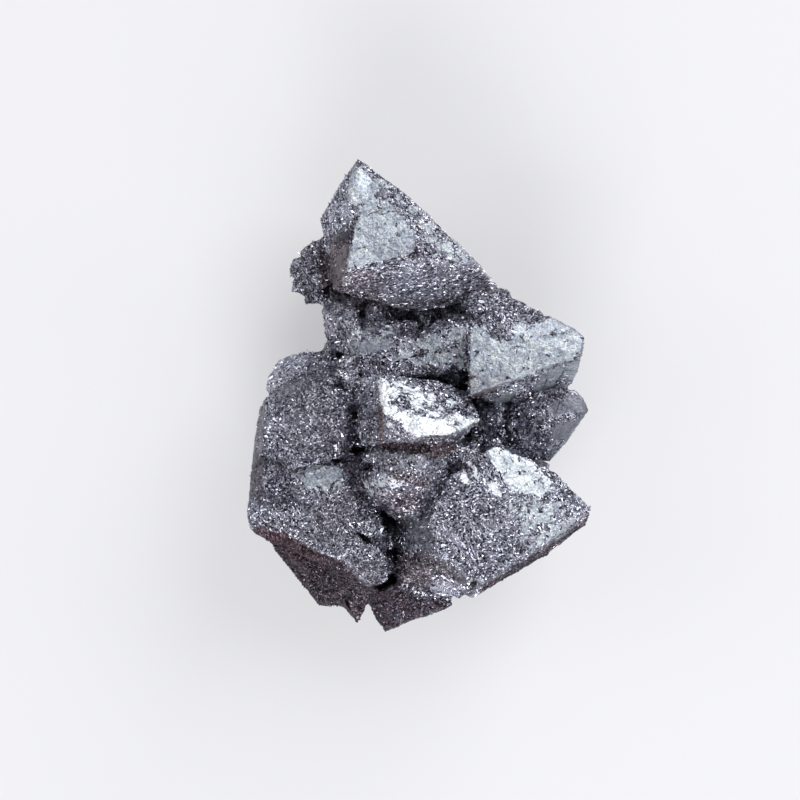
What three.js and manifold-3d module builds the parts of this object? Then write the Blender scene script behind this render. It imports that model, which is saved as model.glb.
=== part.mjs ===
// A cluster of intergrown octahedral crystals of hematite that took the place of magnetite.
// The cluster lies on its broken back, which is cut flat. +Z points up from that cut, +Y runs the
// long way of the stone and +X across it, and the origin is under its middle. Every length is in
// millimetres and every angle in degrees.
import * as THREE from 'three';
import { ConvexGeometry } from 'three/addons/geometries/ConvexGeometry.js';
import { mergeVertices } from 'three/addons/utils/BufferGeometryUtils.js';
import Module from 'manifold-3d';

// From the tip of the foot to the tip of the head. The corners below are laid out at this length,
// and another value scales the whole stone.
const LENGTH = 47.7;

// The block that saws the back off flat at z = 0. It is larger than the stone each way.
const SAW_SIDE = 80;
const SAW_DEPTH = 30;

const WELD = 1e-4; // corners closer than this are one corner

// The crystals of the upper side, each the convex hull of its corners [x, y, z]. They are distorted
// octahedra: growth against their neighbours made some faces larger and cut others short. The last
// corners of a list are the ones buried in the stone.
const CROWN = {
  // The tall crystal at the head of the cluster, its striated lower face hanging over the saddle.
  head: [
    [-6.3, 23.8, 18], [-7.6, 11.4, 22], [-2.2, 20.8, 18], [0.8, 18.1, 18.2], [5.5, 13.3, 18.5],
    [8, 10.8, 11.5], [5, 9.2, 11.4], [-0.5, 8.2, 12.5], [-8.8, 10.5, 13], [-10, 17.6, 11],
    [-6, 14, 4], [0, 13, 5],
  ],
  headFlank: [
    [-6.6, 23, 18.1], [-8, 21.4, 15], [-10, 17.8, 12.5], [-9.7, 15.6, 13], [-7.2, 16, 20.8],
    [-5.8, 18.5, 19.8], [-7.1, 20.5, 19.3], [-5, 18, 10],
  ],
  headShoulder: [
    [3, 13, 11], [8, 10.9, 12.5], [12.7, 7.9, 14.5], [10, 6.5, 16.8], [6, 7, 16], [3.5, 9, 11],
    [8, 8, 4],
  ],
  // The broad face on the right, with a narrow side face below its lower edge.
  rightUpper: [
    [4.7, 7.2, 19], [4.8, -0.1, 19.5], [16.2, 4.2, 18], [16.6, 5.8, 17], [15.8, 6.6, 16.5],
    [13.1, 7.9, 16.5], [8, 8.4, 17.5], [15.5, 1, 12], [8, -1, 12.5], [5.2, 1, 9], [11, 5, 6],
    [8, 7, 8],
  ],
  rightMiddle: [
    [17.1, -1.6, 12.5], [16.7, -0.4, 11], [15.7, 0.6, 11.5], [12.8, 0.8, 12], [12.5, -1, 14.5],
    [13, -2.5, 15], [13.1, -6.9, 11], [14.7, -4.9, 10.5], [9, -1, 12], [8, -6, 12], [11, -3, 4],
  ],
  rightHollow: [
    [5.5, 0, 12], [5, -5, 13.5], [10.5, 0, 10.5], [9, -5.5, 12.5], [13, -6, 10], [9, -3, 3],
  ],
  // The largest crystal, low on the right.
  rightLower: [
    [7.7, -4.8, 18], [13.6, -7.7, 16.3], [17.3, -11.4, 16], [6, -18.8, 19.5], [2, -16.2, 20.3],
    [1, -12.3, 20.3], [3, -8, 19.5], [16.8, -13, 13], [12.8, -16, 13], [5.2, -20.5, 14],
    [-2.4, -12.4, 15.4], [-2.6, -15.6, 14.8], [0, -17.8, 14], [11, -12, 5], [5, -13, 5],
  ],
  rightFoot: [
    [0, -17.5, 17.2], [3, -17, 19], [5.5, -19.4, 17], [4, -20.6, 14], [1, -19.8, 14],
    [-0.6, -18.9, 14.8], [-2.6, -18.7, 14.2], [-2.5, -16, 15.4], [4, -18, 8],
  ],
  // The crystal that stands highest, with its bright face turned to the head.
  middle: [
    [-4.1, 2.3, 20], [2, 1.4, 18.5], [6.3, -2.4, 19], [3.2, -3.9, 22.5], [-3.5, -4.6, 24],
    [-6.9, 1.5, 16.3], [-7, -5.2, 17.6], [4.8, 0.3, 16.8], [3, -5.5, 17], [0, -1, 8],
  ],
  middleLow: [
    [-6.2, -6.5, 18.5], [-5.8, -9, 18.7], [-4.5, -10.5, 19], [-2.5, -11.7, 19], [0, -11.5, 18.5],
    [2, -10, 18], [3, -7, 18], [3, -4.5, 19], [-4, -5.5, 22], [-3, -8.5, 23], [0, -8.5, 22.5],
    [0.5, -6, 22], [-7.2, -6, 16.8], [-6.9, -9, 16.6], [-2.4, -12.6, 16.4], [1, -12.6, 17],
    [0, -7, 10],
  ],
  // The wide crystals on the left, stepped where one ends and the next begins.
  leftTop: [
    [-15.5, 0.6, 14], [-15.2, 2, 13.5], [-14.2, 3.6, 13.5], [-12, 4.4, 13.5], [-10, 4.5, 13],
    [-7.3, 2.3, 15], [-8.5, 1, 17.5], [-12, 0.5, 17.8], [-15.2, -0.4, 16.3], [-12, 1, 5],
  ],
  left: [
    [-15.5, -0.2, 17.3], [-11.5, 1.8, 18], [-6.9, 0.4, 18.4], [-7.2, -6, 19.5], [-12, -7.3, 20],
    [-15.8, -4.5, 18.5], [-16.1, -1.2, 14], [-16.7, -4.7, 14.5], [-17, -7.8, 14], [-13, -3, 5],
    [-8, -3, 5],
  ],
  leftLower: [
    [-15.8, -6.8, 18], [-7.8, -6.6, 18.5], [-17, -7.5, 15.5], [-17.4, -11.8, 16], [-17.2, -13.6, 15.5],
    [-15.9, -14, 16.5], [-9.8, -15.6, 18], [-7.5, -16.5, 18], [-4.3, -19.4, 17], [-3, -18.7, 16.5],
    [-3.5, -12.5, 17.5], [-6.5, -10.5, 18.5], [-12, -11, 5], [-7, -13, 5],
  ],
  leftFoot: [
    [-15.5, -14.5, 11], [-12.2, -18.2, 10], [-10.2, -21.3, 10], [-7.5, -21.5, 10], [-4.7, -20.8, 11.5],
    [-4, -19.6, 13], [-14, -13, 16], [-5, -18, 16], [-9, -14, 3],
  ],
  foot: [
    [-5.4, -20.7, 12], [-4.6, -22.4, 11], [-3.6, -23.9, 11], [-2.4, -23.3, 11], [0.5, -22.2, 12],
    [3.4, -21.3, 12], [3.5, -19.5, 13.5], [-3, -19, 15], [-1, -18, 3],
  ],
  footTip: [
    [-8.3, -20.7, 11], [-7.3, -21.9, 10], [-6.3, -23.1, 10], [-5.4, -21.7, 11], [-5.2, -20.2, 12],
    [-7, -19.2, 13], [-6.5, -19, 5],
  ],
  // The rough saddle between the head and the rest.
  saddleLeft: [
    [-10.2, 9.6, 11.5], [-9.5, 7.8, 13.5], [-9.1, 6.4, 13.5], [-9.2, 4.3, 12.5], [-6.5, 9.5, 13.5],
    [-6, 6.5, 16.3], [-6.5, 4, 16], [-5, 6, 3],
  ],
  saddle: [
    [-5.5, 7.6, 14.3], [-0.5, 7.6, 14], [-5.5, 5.5, 16.8], [-1, 5.8, 16.6], [-7.5, 3, 15.5],
    [-7, 1.5, 15.5], [2, 1.8, 16.2], [-2, 2, 17.6], [-3, 5, 3],
  ],
  saddleRight: [
    [-3.6, 4.6, 16.3], [-1, 5.6, 16], [2.5, 6.9, 15.6], [6, 7.4, 15.2], [2.5, 7.9, 13.5],
    [6, 8.3, 13.5], [6, 2.9, 16.8], [2.9, 2.5, 16.6], [1.4, 1.6, 16.2], [-2.5, 3.3, 16.6], [2, 5, 4],
  ],
};

// Regular octahedra as [centre, reach from centre to tip, turns about x, y and z]. The large ones are
// the body behind the crown, and the saw cuts them. The small ones crowd round its sides.
const BODY = [
  [[-3, 12.5, 4], 8, [20, 30, 10]],
  [[-2, 5, 4], 8.5, [50, 10, 30]],
  [[7, 2.5, 4.5], 8.5, [15, 25, 20]],
  [[-9, -3, 5], 8.5, [35, 20, 70]],
  [[-8.5, -11, 4.5], 8.5, [10, 40, 20]],
  [[6.5, -10.5, 4.5], 8.2, [60, 15, 30]],
  [[0, -3, 5], 11.5, [25, 15, 0]],
  [[-1, -15, 4.5], 8, [40, 35, 15]],
];
const SIDES = [
  [[12.2, 3.2, 9], 4, [10, 20, 0]],
  [[11, -4.2, 6.5], 4, [40, 10, 20]],
  [[12.6, -11.3, 8], 4.2, [20, 50, 10]],
  [[8.2, -13.2, 7.5], 4.5, [70, 20, 30]],
  [[2.5, -17.8, 8], 3.6, [30, 30, 60]],
  [[-2.6, -19.4, 7], 3.4, [15, 65, 5]],
  [[-9, -16.6, 6.5], 4, [50, 40, 10]],
  [[-13.2, -11.6, 8.5], 4, [20, 15, 75]],
  [[-13.1, -5, 9], 3.6, [65, 10, 15]],
  [[-11.7, 0.6, 8.5], 3.6, [30, 70, 20]],
  [[-6.8, 6, 8], 3.2, [45, 25, 35]],
  [[-6, 16, 8], 3.8, [10, 35, 55]],
  [[-1.5, 13.8, 8.5], 4.2, [55, 5, 25]],
  [[4.8, 8.8, 8], 4, [25, 45, 5]],
  [[10, 5, 8], 3.2, [5, 15, 65]],
  [[1, 9.2, 8], 4, [35, 60, 40]],
];
// The rough knob beside the head is a bunch of small crystals.
const KNOB = [
  [[-10.4, 14, 10.5], 2.1, [20, 10, 75]],
  [[-11.9, 12.7, 10.3], 1.7, [55, 30, 10]],
  [[-11.7, 11.2, 9.9], 1.8, [10, 45, 25]],
  [[-10.4, 10.5, 9.6], 2, [35, 20, 50]],
  [[-10.2, 12.4, 10.6], 2.7, [40, 20, 60]],
  [[-9.3, 13, 9], 2.8, [25, 50, 5]],
];
// Small crystals that sit in the hollows between the large ones.
const HOLLOWS = [
  [[-8.5, 3.4, 11.8], 2.2, [25, 15, 50]],
  [[-8.6, 4.9, 12.4], 1.6, [20, 30, 5]],
  [[-4.4, 8.2, 12.2], 1.8, [15, 35, 20]],
  [[0.6, 8, 9.8], 1.6, [50, 10, 45]],
  [[3.4, 2.4, 13.2], 1.9, [30, 20, 5]],
  [[7, -2.4, 13.2], 2, [60, 35, 15]],
  [[10.2, -3, 11.4], 1.8, [20, 55, 30]],
  [[-7.2, 2.9, 15.4], 1.7, [40, 5, 60]],
  [[-6.9, -2.4, 16], 1.6, [10, 25, 35]],
  [[-7.5, 1.7, 16], 1.9, [55, 20, 30]],
  [[-7, -6.9, 17], 2, [30, 40, 10]],
  [[-5.2, -11.7, 15.6], 1.8, [70, 15, 10]],
  [[-3, -14, 13.4], 2.2, [25, 40, 55]],
  [[-3.2, -17, 13.6], 1.8, [45, 60, 25]],
  [[-7.4, -17.8, 13.4], 1.7, [5, 30, 70]],
  [[4.4, -6, 17.6], 2.2, [35, 15, 40]],
];

const { Manifold, Mesh } = await loadSolids();

async function loadSolids() {
  const wasm = await Module();
  wasm.setup();
  return wasm;
}

// A closed three.js geometry as a solid that can be joined and cut.
function solidOf(geometry) {
  geometry.deleteAttribute('normal');
  geometry.deleteAttribute('uv');
  const welded = mergeVertices(geometry, WELD);
  return new Manifold(new Mesh({
    numProp: 3,
    vertProperties: new Float32Array(welded.attributes.position.array),
    triVerts: new Uint32Array(welded.index.array),
  }));
}

function crystalOf(corners) {
  return solidOf(new ConvexGeometry(corners.map((corner) => new THREE.Vector3(...corner))));
}

function octahedronOf([centre, reach, turns]) {
  const geometry = new THREE.OctahedronGeometry(reach);
  const [x, y, z] = turns.map(THREE.MathUtils.degToRad);
  geometry.applyMatrix4(new THREE.Matrix4().makeRotationFromEuler(new THREE.Euler(x, y, z)));
  return solidOf(geometry.translate(...centre));
}

function sawBlock() {
  const block = new THREE.BoxGeometry(SAW_SIDE, SAW_SIDE, SAW_DEPTH);
  return solidOf(block.translate(0, 0, -SAW_DEPTH / 2));
}

function geometryOf(solid) {
  const mesh = solid.getMesh();
  const geometry = new THREE.BufferGeometry();
  geometry.setAttribute('position', new THREE.BufferAttribute(mesh.vertProperties, mesh.numProp));
  geometry.setIndex(new THREE.BufferAttribute(mesh.triVerts, 1));
  return geometry;
}

// Centres the stone over the origin and gives it its length.
function settle(geometry) {
  geometry.computeBoundingBox();
  const middle = geometry.boundingBox.getCenter(new THREE.Vector3());
  const size = geometry.boundingBox.getSize(new THREE.Vector3());
  const scale = LENGTH / size.y;
  geometry.translate(-middle.x, -middle.y, 0);
  geometry.scale(scale, scale, scale);
  geometry.computeVertexNormals();
  return geometry;
}

// All the crystals grown into one another, with the back sawn off.
function clusterGeometry() {
  const crowns = Object.values(CROWN).map(crystalOf);
  const octahedra = [...BODY, ...SIDES, ...KNOB, ...HOLLOWS].map(octahedronOf);
  const grown = [...crowns, ...octahedra].reduce((joined, crystal) => joined.add(crystal));
  return settle(geometryOf(grown.subtract(sawBlock())));
}

const hematite = new THREE.MeshStandardMaterial({
  color: 0x77787f,
  roughness: 0.4,
  metalness: 0.9,
  flatShading: true,
});
const cluster = new THREE.Mesh(clusterGeometry(), hematite);
cluster.name = 'hematite_cluster';

const group = new THREE.Group();
group.add(cluster);
export default group;
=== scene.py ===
"""Looks for a cluster of hematite crystals: one fine stone surface and a druse of minute octahedra."""

import copy
import math
from collections import namedtuple

import bpy
import numpy as np
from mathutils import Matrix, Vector
from mathutils.bvhtree import BVHTree
from mathutils.kdtree import KDTree


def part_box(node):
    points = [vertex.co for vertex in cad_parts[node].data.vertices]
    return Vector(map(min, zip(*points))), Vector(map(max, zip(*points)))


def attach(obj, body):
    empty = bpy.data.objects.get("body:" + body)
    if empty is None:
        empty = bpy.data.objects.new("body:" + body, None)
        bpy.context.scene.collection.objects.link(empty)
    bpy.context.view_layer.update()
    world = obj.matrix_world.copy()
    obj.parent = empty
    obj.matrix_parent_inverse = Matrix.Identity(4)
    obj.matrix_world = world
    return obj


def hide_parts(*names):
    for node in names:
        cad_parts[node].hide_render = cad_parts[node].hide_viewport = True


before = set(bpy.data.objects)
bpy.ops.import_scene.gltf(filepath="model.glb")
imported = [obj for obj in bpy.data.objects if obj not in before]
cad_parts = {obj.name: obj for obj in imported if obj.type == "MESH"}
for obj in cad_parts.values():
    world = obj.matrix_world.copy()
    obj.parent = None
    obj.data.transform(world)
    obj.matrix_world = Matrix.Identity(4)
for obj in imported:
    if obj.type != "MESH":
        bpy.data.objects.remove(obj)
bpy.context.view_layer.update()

# Everything below is in millimetres in the stone's own frame, until a mesh is written in metres.
MM = 0.001
NODE = "hematite_cluster"
LOW, HIGH = (np.array(corner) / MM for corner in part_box(NODE))

# --- How fine the surface is ---
VOXEL = 0.24
STONE_TRIANGLES = 196000
DRUSE_PIECES = 4
GRAINS_PER_PIECE = 24400
SHARP_EDGE = math.radians(14)
EDGE_STEP = 0.2
UPWARD = 0.05
BACKWARD = -0.95

# --- Noise: how big its lumps are, its seed, how many octaves it has and how high it reaches ---
Lumps = namedtuple("Lumps", "size seed octaves height", defaults=(3, 1.0))
PATCH_WANDER = Lumps(1.1, 11, 4, 1.6)
SIDE_WANDER = Lumps(1.4, 93, 4, 0.9)
ZONE_WANDER = Lumps(1.6, 17)
TONE_DRIFT = Lumps(3.0, 19, 3, 0.18)
COARSE_DRIFT = Lumps(2.6, 23, 2)
FINE_DRIFT = Lumps(2.6, 29, 2)
MOTTLING = Lumps(0.9, 121, 2, 0.4)
CLUMPS = Lumps(1.6, 81, 2, 0.3)

# --- Relief of the stone. The height of a block is its greatest slope ---
SWELL = Lumps(3.2, 31, 3, 0.08)
RIPPLE = Lumps(1.1, 41, 3, 0.05)
DENTS = Lumps(0.8, 51)
DENT_DEPTH = 0.05
PATCH_LUMPS = Lumps(1.2, 61, 3, 0.07)
PATCH_BLOCKS = Lumps(1.1, 63, height=0.06)
DRUSE_LUMPS = Lumps(2.0, 65, 2, 0.16)
DRUSE_KNOTS = Lumps(0.65, 71, 2, 0.17)
COARSE_BLOCKS = Lumps(1.3, 67, height=0.45)
GROWTH_LINES = Lumps(0.7, 75, 2, 0.1)
CRACK_DEPTH = 0.12
# The whole surface sinks this far, so that the grains on it stay inside the solid's box.
SINK = 0.08

# --- The druse's grains: how far they reach from centre to tip, usually and at the most, how far
# they stand proud of the stone, how far they lean, and how their sizes and shapes are spread -----
GRAIN_REACH = 0.094
LEAST_REACH = 0.06
MOST_REACH = 0.42
MOST_ON_LINES = 0.15
MOST_ON_RIDGES = 0.18
MOST_ON_SIDES = 0.2
PROUD = (0.0, 0.11)
LEAN = 0.32
SIZE_SPREAD = 0.35
BIG_GRAIN = 2.6
BIG_SHARE = 0.3
LONG, LONG_ON_LINES = 1.1, 2.1
THICK = (0.45, 0.95)
ALIGNED_SHARE = 0.55
GRAIN_TONE = 0.52

# --- Where grains are fewer: on the sides, low down, on growth lines and in even druse ---
SIDE_SHARE = 0.45
LOW_SHARE, LOW_HEIGHT = 0.5, 7
LINES_SHARE = 0.7
FINE_LOSS = 0.3

# --- The sides: low down the druse is finer, and a few facets are bare ---
FINE_LOW, FINE_HEIGHTS = 0.8, (8, 13)
BARE_SIDES = 0.08
BARE_TOP = 12
BARE_SLOPE = 0.12
BARE_FROM_RIDGE, BARE_FROM_CREASE = 0.45, 0.65
BARE_SHINE = (0.12, 0.5)

# --- Colours, each from the dark to the pale end ---
PATCH_DULL = ((0.10, 0.102, 0.13), (0.18, 0.182, 0.22))
# PATCH_BRIGHT and the white below are paler than the stone's own grey: partly painted highlight.
PATCH_BRIGHT = ((0.50, 0.585, 0.72), (0.90, 0.975, 1.0))
PAINTED_HIGHLIGHT_WHITE = (0.96, 0.97, 1.0)
FLAW_COLOUR = (0.10, 0.10, 0.13)
STAIN = ((0.06, 0.03, 0.034), (0.17, 0.105, 0.115))
CRACK_COLOUR = (0.03, 0.024, 0.026)
# Painted shade: the colour the stone is darkened towards in holes and along creases.
CREASE_SHADE_COLOUR = (0.05, 0.04, 0.045)
GROUND = ((0.03, 0.03, 0.048), (0.46, 0.47, 0.56))
GRAIN_GREY = ((0.12, 0.12, 0.165), (0.80, 0.83, 0.93))
GRAIN_MAUVE = ((0.12, 0.105, 0.14), (0.70, 0.67, 0.76))
GRAIN_RUST = ((0.04, 0.026, 0.03), (0.26, 0.18, 0.195))
FLOOR_COLOUR = (0.42, 0.42, 0.43)
FLOOR_GLOW, FLOOR_GLOW_COLOUR = 0.42, (0.97, 0.97, 1.0)
SKY_COLOUR = (0.97, 0.975, 1.0)

# --- The sizes of the marks in the stone's colour ---
GLINT = 0.13
GRIT = 0.2
STREAK = 0.26
SPECK = 0.3
COBBLE = 0.42
MOTTLE = 0.9
HAIRLINE, HAIRLINE_WIDTH = 1.1, 0.04
GRAIN_TINT = 5.0

# --- Smooth patches on the upper side, as outlines x,y x,y ... seen from above ---
# shine: 0 is dull grey, 1 is white under the lamp; partly the stone's lustre and partly painted
# highlight, set for how each face catches the lamps. ragged: how far the edge wanders. holes: the
# share of the patch that the druse has grown over, in islands about islands across.
Patch = namedtuple("Patch", "outline shine ragged holes islands brown", defaults=(0.15, 0, 0.5, 0))
PATCHES = dict(
    head_face=Patch("-6.9,22.6 -5.9,22.8 -5.3,21.2 -3.5,21.4 -4.2,20 -2.8,18.9 -2,18.1 -0.4,16.7 "
        "-0.1,15.4 -0.8,14 -2.3,13.6 -4.9,13.1 -6.5,12.6 -7.5,11.9 -6.9,14.4 -6.4,16.4 -5.9,18.5 "
        "-7.2,19.7", shine=0.49, ragged=0.35, holes=0.08),
    head_right=Patch("-2.2,20 -1,19.2 1.5,17 4.5,14.4 6.8,12.2 4.6,12.8 1.8,13.6 0.4,15.6 -1.5,18",
        shine=0.5, ragged=0.5, holes=0.45),
    head_top=Patch("-7.1,22.2 -6.2,22.9 -5.2,22.2 -4.4,20.6 -5,19.4 -6.3,19.2 -7.2,20.4", shine=0.82,
        ragged=0.4, holes=0.12),
    head_crest=Patch("-6,23 -5,22.4 -3,20.6 -3.6,19.8 -5,21", shine=0.45, ragged=0.4, holes=0.4),
    head_strip=Patch("-8.9,12.8 -8,14.4 -6.9,14.9 -7,13.3 -7.6,12.3 -8.5,10.9 -9,11.3", shine=0.1,
        ragged=0.4, holes=0.2, brown=0.7),
    right_face=Patch("5,6.7 5.5,7.1 6.6,7.2 6.9,6.4 7.1,5.6 7.4,5.2 8.3,5.1 8.6,5.5 9.2,5.4 9.4,6.2 "
        "9.2,6.9 9.9,7.4 11,7.2 12,7.3 13.1,8.1 14.9,7.4 16,6.6 16.6,5.6 16.5,4.4 14.9,3.4 13.3,2.9 "
        "12.35,2.4 10.4,1.6 8.5,0.8 7.3,0.2 6.6,-0.07 4.9,-0.3 4.8,4.1", shine=0.6, ragged=0.35,
        holes=0.15, islands=0.45),
    right_side_a=Patch("7.6,-0.4 8.7,0.4 9.5,0.5 9.6,-0.25 8.9,-0.9 8.1,-1", shine=0.9),
    right_side_b=Patch("11.2,0.4 11.6,1.35 12.8,2.35 14.4,3 14.55,2.1 14,1.3 12.7,0.5 12,0.3", shine=0.5),
    right_side_c=Patch("14.75,3.2 16.2,3.5 16.1,2.4 15.5,1.25 14.7,1.6 14.25,1.4", shine=0.5),
    middle_right_a=Patch("12.5,-1.2 13.3,-0.6 14.5,-0.4 15.7,0.2 16.65,-0.4 17.1,-1.4 17,-2.1 16.15,-1.9 "
        "14.9,-1.7 13.7,-2.15 13.2,-2.3 12.7,-1.6", shine=0.11, ragged=0.2, holes=0.04, islands=0.95),
    middle_right_b=Patch("13.3,-3.4 14.1,-2.8 15.3,-2.6 16.5,-2.15 15.6,-3.2 14.9,-4.4 13.3,-4.2",
        shine=0.18, ragged=0.2, holes=0.04, islands=0.95),
    middle_right_c=Patch("13.1,-5.4 13.8,-5.3 13.2,-6.8", shine=0.11, ragged=0.12),
    white_edge=Patch("-4.1,1.6 -3.2,1.6 -2.9,0.6 -3.1,-0.6 -2.2,-1.3 -0.8,-2.2 0.6,-2.3 2.2,-2.2 4,-1.7 "
        "6.4,-2.4 4.8,-3.2 2.7,-4 1.2,-3.9 -0.3,-4.1 -1.4,-3.6 -1.5,-2.9 -2.6,-2.2 -3.4,-1.9 -3.9,-1.4",
        shine=1, ragged=0.2, holes=0.03, islands=0.95),
    white_veil=Patch("-3.6,1.6 -2.2,1.6 -1.2,1.1 0.4,0.9 1.6,0.3 2.2,-0.8 2.8,-2.2 0.6,-3 -1.5,-3.2 "
        "-3.2,-3 -3.6,-1", shine=0.95, ragged=0.3, holes=0.42, islands=0.6),
    white_bit=Patch("2.9,-0.4 3.6,-0.4 3.7,-0.9 3,-0.9", shine=0.9, ragged=0.1),
    low_right_face=Patch("6.6,-4.9 8.2,-4.9 9.4,-5.4 11.05,-6.4 11.9,-7.3 13.1,-8.3 13.3,-9.3 12.1,-10.1 "
        "10.2,-9.8 9.2,-9.5 8.6,-8.3 7.8,-7.5 7.3,-6.6", shine=0.91, ragged=0.25, holes=0.14, islands=0.4),
    low_right_veil=Patch("8.8,-10 10,-10.4 11.4,-10 12.1,-10.8 13.7,-10.6 15.1,-10.7 15.5,-11.9 "
        "14.9,-13.4 12.7,-15 11.3,-15.4 10.6,-14.1 10.3,-12.8 9.5,-11.8 9,-11", shine=0.7, ragged=0.45,
        holes=0.4),
    low_right_spot_a=Patch("5.2,-7 5.7,-7.1 6,-8.2 5.5,-8.2", shine=1, ragged=0.12),
    low_right_spot_b=Patch("3.9,-7.6 4.5,-7.7 5,-8.5 4.6,-8.9 4.1,-8.4", shine=1),
    low_right_spot_c=Patch("6.1,-8.1 6.6,-8.2 6.9,-9.1 6.5,-9.3", shine=1, ragged=0.12),
    low_right_spot_d=Patch("7.1,-8.4 7.8,-8.6 8.2,-10 7.5,-10 7,-9.3", shine=1, ragged=0.12),
    low_right_spot_e=Patch("4.7,-6.4 5.3,-6.4 5.2,-7 4.7,-7", shine=0.9, ragged=0.12),
    saddle_face=Patch("-3.4,4.6 -1.6,5.4 0.8,6 2.4,6.9 4.7,7.1 4.7,3 3,2.9 0.5,3.2 -2.2,3.3", shine=0.4,
        ragged=0.5, holes=0.36),
    saddle_ledge=Patch("-7.5,5.2 -4.2,6 -2.4,5.2 -4.4,4.2 -7,4.2", shine=0.36, ragged=0.5, holes=0.3,
        islands=0.95),
    saddle_streak_a=Patch("-7,6.1 -5.6,6.05 -4.9,6.35 -4.1,7.05 -4.5,7.15 -5.2,6.75 -5.8,6.5 -7,6.5",
        shine=0.85, ragged=0.1),
    saddle_streak_b=Patch("-8.2,7.65 -7.4,7.85 -6.6,8.25 -6.7,8.65 -7.6,8.25 -8.2,8.05", shine=0.85,
        ragged=0.1),
    saddle_streak_c=Patch("-3.3,5.95 -2.5,6.15 -2.5,6.6 -3.2,6.4", shine=0.85, ragged=0.1),
    left_blue=Patch("-12.8,-7.3 -10.8,-7.1 -8.2,-6.8 -7.5,-7.3 -7.8,-9 -8.6,-9.9 -10.3,-9.4 -11.6,-8.7",
        shine=0.5, ragged=0.5, holes=0.3, islands=0.35),
    low_middle=Patch("-4.4,-5.4 -1.5,-5 0.6,-6 0.4,-7.4 -2.4,-7.2 -4.2,-6.6", shine=0.22, ragged=0.6,
        holes=0.5, islands=0.35, brown=0.15),
    low_middle_spots=Patch("-5.6,-8.7 -4.2,-8.3 -3,-8.1 -1.4,-8.6 -1.6,-9.3 -3.2,-9.4 -4.8,-9.7",
        shine=1, ragged=0.5, holes=0.42, islands=0.25),
    left_ledge=Patch("-14.5,0.3 -11.1,2 -10.8,1.4 -14.2,-0.5", shine=0.25, ragged=0.3, holes=0.25,
        islands=0.95),
    low_right_side=Patch("-1.9,-12 1,-11.6 1.5,-15.4 -1.4,-15.6", shine=0.13, ragged=0.4, holes=0.3,
        islands=0.4),
)
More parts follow.
